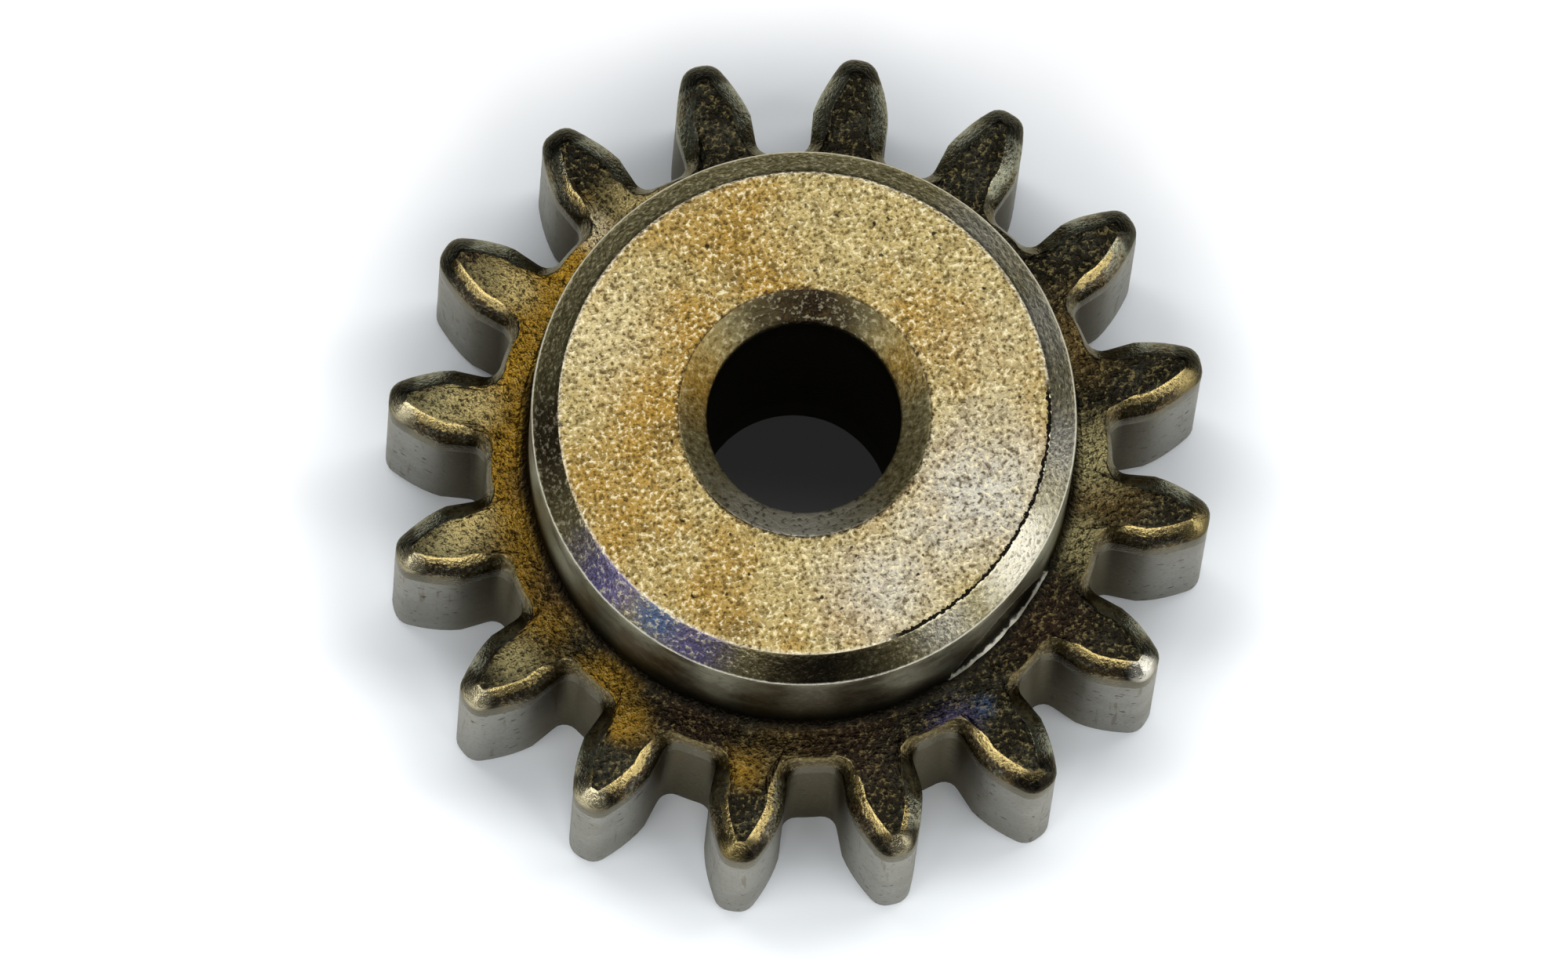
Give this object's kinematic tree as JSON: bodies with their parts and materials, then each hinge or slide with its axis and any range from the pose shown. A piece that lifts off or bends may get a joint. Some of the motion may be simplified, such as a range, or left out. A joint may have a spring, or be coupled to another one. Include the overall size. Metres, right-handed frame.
{
  "type": "pinion gear",
  "caption": "Small spur pinion with involute teeth, a plain cylindrical hub on one side and a countersunk through bore, pressed and sintered from steel powder in one piece.",
  "frame": {"origin": "centre of the bore at the bottom face of the teeth", "axes": "+Z along the bore, from the teeth towards the hub; +X through the middle of one tooth"},
  "size_m": [0.018, 0.018, 0.0108],
  "materials": {
    "sintered_steel": "pressed and sintered steel, heat-tinted straw, brown and grey, with fine powder grain and pores"
  },
  "bodies": {
    "root": {"pinion_gear": "sintered_steel"}
  },
  "joints": []
}
